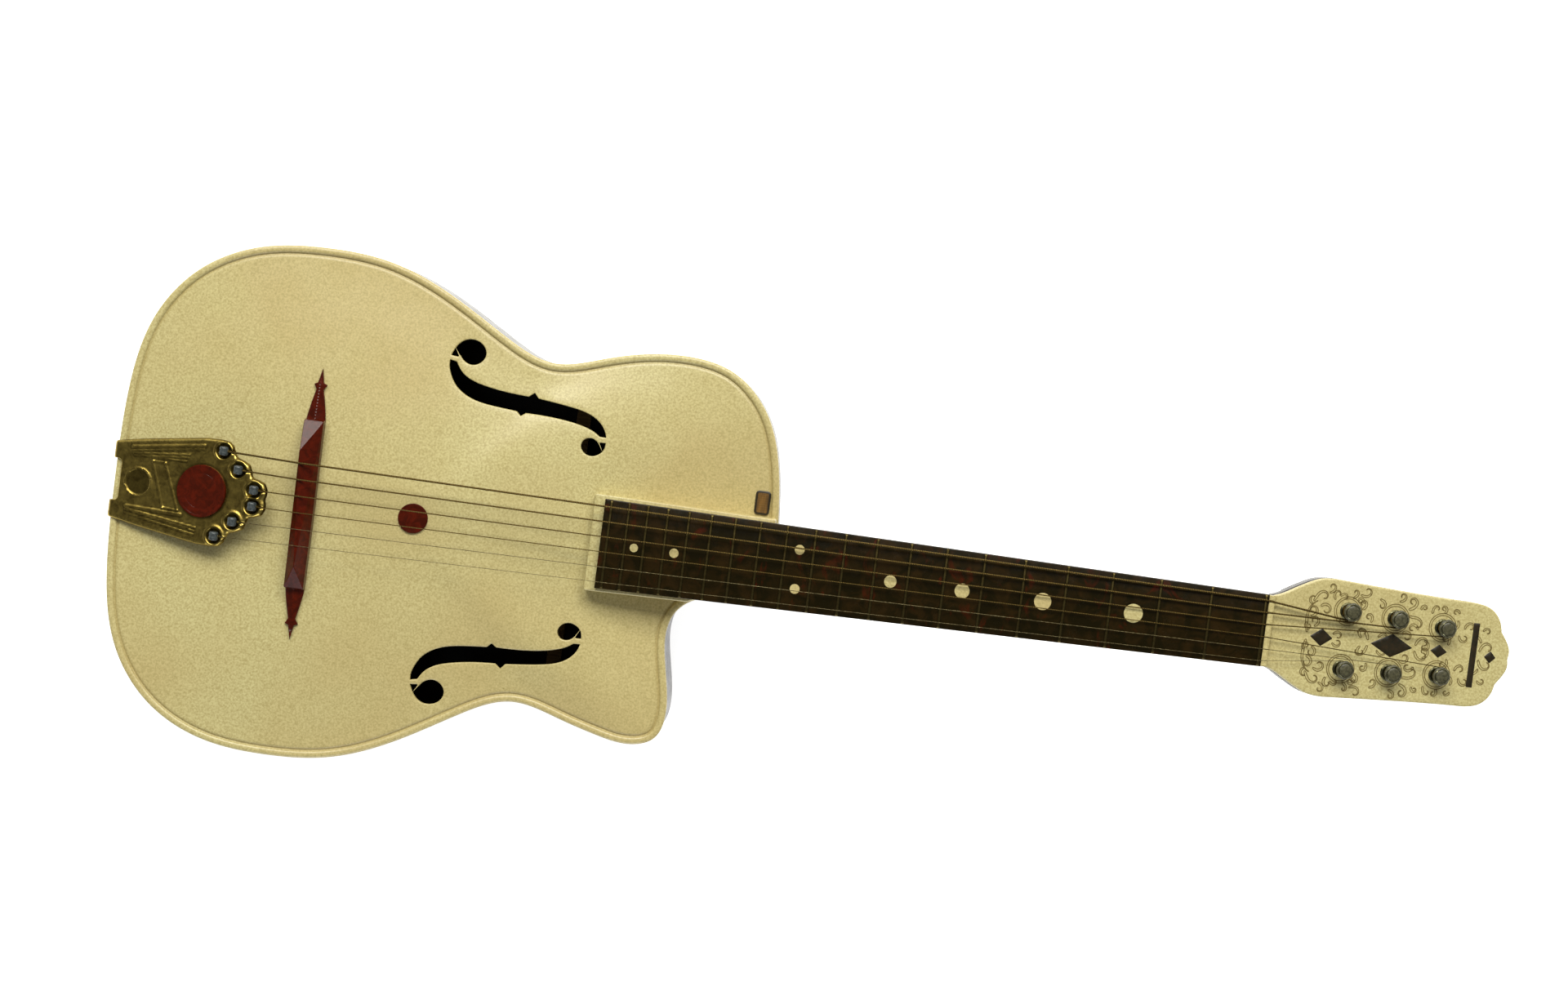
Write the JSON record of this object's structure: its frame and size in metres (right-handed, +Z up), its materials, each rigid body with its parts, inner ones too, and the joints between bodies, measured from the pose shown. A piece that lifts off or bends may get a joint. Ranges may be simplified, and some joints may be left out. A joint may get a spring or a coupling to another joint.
{
  "type": "archtop guitar",
  "caption": "Full-size archtop guitar in moulded plastic with a cutaway, f-holes, floating bridge, stamped tailpiece and geared tuners with rear knobs.",
  "frame": {"origin": "point of the flat back under the bridge saddle", "axes": "+X along the strings from tail to head, +Y across towards the bass strings, +Z up from the back to the soundboard"},
  "size_m": [0.9627, 0.3492, 0.1103],
  "materials": {
    "cream_plastic": "moulded, softly glossy",
    "marbled_plastic": "moulded, marbled, polished",
    "red_plastic": "moulded, polished",
    "brass": "stamped, aged lacquer",
    "brown_inlay": "flat inlay",
    "spruce": "sawn",
    "knob_plastic": "moulded",
    "string_steel": "drawn wire",
    "steel": "machined",
    "nickel_plate": "nickel plated, dulled"
  },
  "bodies": {
    "root": {"back_and_sides": "marbled_plastic", "back_braces": "spruce", "badge": "brown_inlay", "bridge_base": "red_plastic", "bridge_saddle": "red_plastic", "fret_wires": "brass", "fretboard": "marbled_plastic", "fretboard_riser": "cream_plastic", "head_cover": "marbled_plastic", "head_inlays": "brown_inlay", "head_plate": "cream_plastic", "head_screws": "steel", "knob_bushings": "nickel_plate", "neck": "marbled_plastic", "neck_bar": "steel", "neck_block": "spruce", "neck_bolts": "steel", "nut": "cream_plastic", "position_dots": "cream_plastic", "post_bushings": "nickel_plate", "soundboard": "cream_plastic", "soundboard_disc": "red_plastic", "string_1": "string_steel", "string_2": "string_steel", "string_3": "string_steel", "string_4": "string_steel", "string_5": "string_steel", "string_6": "string_steel", "string_ball_ends": "brass", "tail_block": "spruce", "tailpiece_medallion": "red_plastic", "tailpiece_plate": "brass", "tailpiece_screws": "brass", "top_braces": "spruce"},
    "post_1": {"post_1": "nickel_plate", "winding_1": "string_steel"},
    "knob_1": {"knob_shaft_1": "nickel_plate", "knob_1": "knob_plastic"},
    "post_2": {"post_2": "nickel_plate", "winding_2": "string_steel"},
    "knob_2": {"knob_shaft_2": "nickel_plate", "knob_2": "knob_plastic"},
    "post_3": {"post_3": "nickel_plate", "winding_3": "string_steel"},
    "knob_3": {"knob_shaft_3": "nickel_plate", "knob_3": "knob_plastic"},
    "post_4": {"post_4": "nickel_plate", "winding_4": "string_steel"},
    "knob_4": {"knob_shaft_4": "nickel_plate", "knob_4": "knob_plastic"},
    "post_5": {"post_5": "nickel_plate", "winding_5": "string_steel"},
    "knob_5": {"knob_shaft_5": "nickel_plate", "knob_5": "knob_plastic"},
    "post_6": {"post_6": "nickel_plate", "winding_6": "string_steel"},
    "knob_6": {"knob_shaft_6": "nickel_plate", "knob_6": "knob_plastic"}
  },
  "joints": [
    {"name": "knob_1_turn", "type": "hinge", "parent": "root", "child": "knob_1", "pos_m": [0.71727, 0.0196, 0.07751], "axis": [0.1908, 0, 0.9816], "continuous": true},
    {"name": "post_1_turn", "type": "hinge", "parent": "root", "child": "post_1", "pos_m": [0.70448, 0.0196, 0.08509], "axis": [0.1908, 0, 0.9816], "continuous": true},
    {"name": "knob_2_turn", "type": "hinge", "parent": "root", "child": "knob_2", "pos_m": [0.75065, 0.0185, 0.07103], "axis": [0.1908, 0, 0.9816], "continuous": true},
    {"name": "post_2_turn", "type": "hinge", "parent": "root", "child": "post_2", "pos_m": [0.73786, 0.0185, 0.07861], "axis": [0.1908, 0, 0.9816], "continuous": true},
    {"name": "knob_3_turn", "type": "hinge", "parent": "root", "child": "knob_3", "pos_m": [0.78432, 0.0162, 0.06448], "axis": [0.1908, 0, 0.9816], "continuous": true},
    {"name": "post_3_turn", "type": "hinge", "parent": "root", "child": "post_3", "pos_m": [0.77153, 0.0162, 0.07206], "axis": [0.1908, 0, 0.9816], "continuous": true},
    {"name": "knob_4_turn", "type": "hinge", "parent": "root", "child": "knob_4", "pos_m": [0.78432, -0.0162, 0.06448], "axis": [0.1908, 0, 0.9816], "continuous": true},
    {"name": "post_4_turn", "type": "hinge", "parent": "root", "child": "post_4", "pos_m": [0.77153, -0.0162, 0.07206], "axis": [0.1908, 0, 0.9816], "continuous": true},
    {"name": "knob_5_turn", "type": "hinge", "parent": "root", "child": "knob_5", "pos_m": [0.75065, -0.0185, 0.07103], "axis": [0.1908, 0, 0.9816], "continuous": true},
    {"name": "post_5_turn", "type": "hinge", "parent": "root", "child": "post_5", "pos_m": [0.73786, -0.0185, 0.07861], "axis": [0.1908, 0, 0.9816], "continuous": true},
    {"name": "knob_6_turn", "type": "hinge", "parent": "root", "child": "knob_6", "pos_m": [0.71727, -0.0196, 0.07751], "axis": [0.1908, 0, 0.9816], "continuous": true},
    {"name": "post_6_turn", "type": "hinge", "parent": "root", "child": "post_6", "pos_m": [0.70448, -0.0196, 0.08509], "axis": [0.1908, 0, 0.9816], "continuous": true}
  ],
  "couplings": [
    {"joint": "post_1_turn", "follows": "knob_1_turn", "ratio": -0.33333},
    {"joint": "post_2_turn", "follows": "knob_2_turn", "ratio": -0.33333},
    {"joint": "post_3_turn", "follows": "knob_3_turn", "ratio": -0.33333},
    {"joint": "post_4_turn", "follows": "knob_4_turn", "ratio": -0.33333},
    {"joint": "post_5_turn", "follows": "knob_5_turn", "ratio": -0.33333},
    {"joint": "post_6_turn", "follows": "knob_6_turn", "ratio": -0.33333}
  ]
}
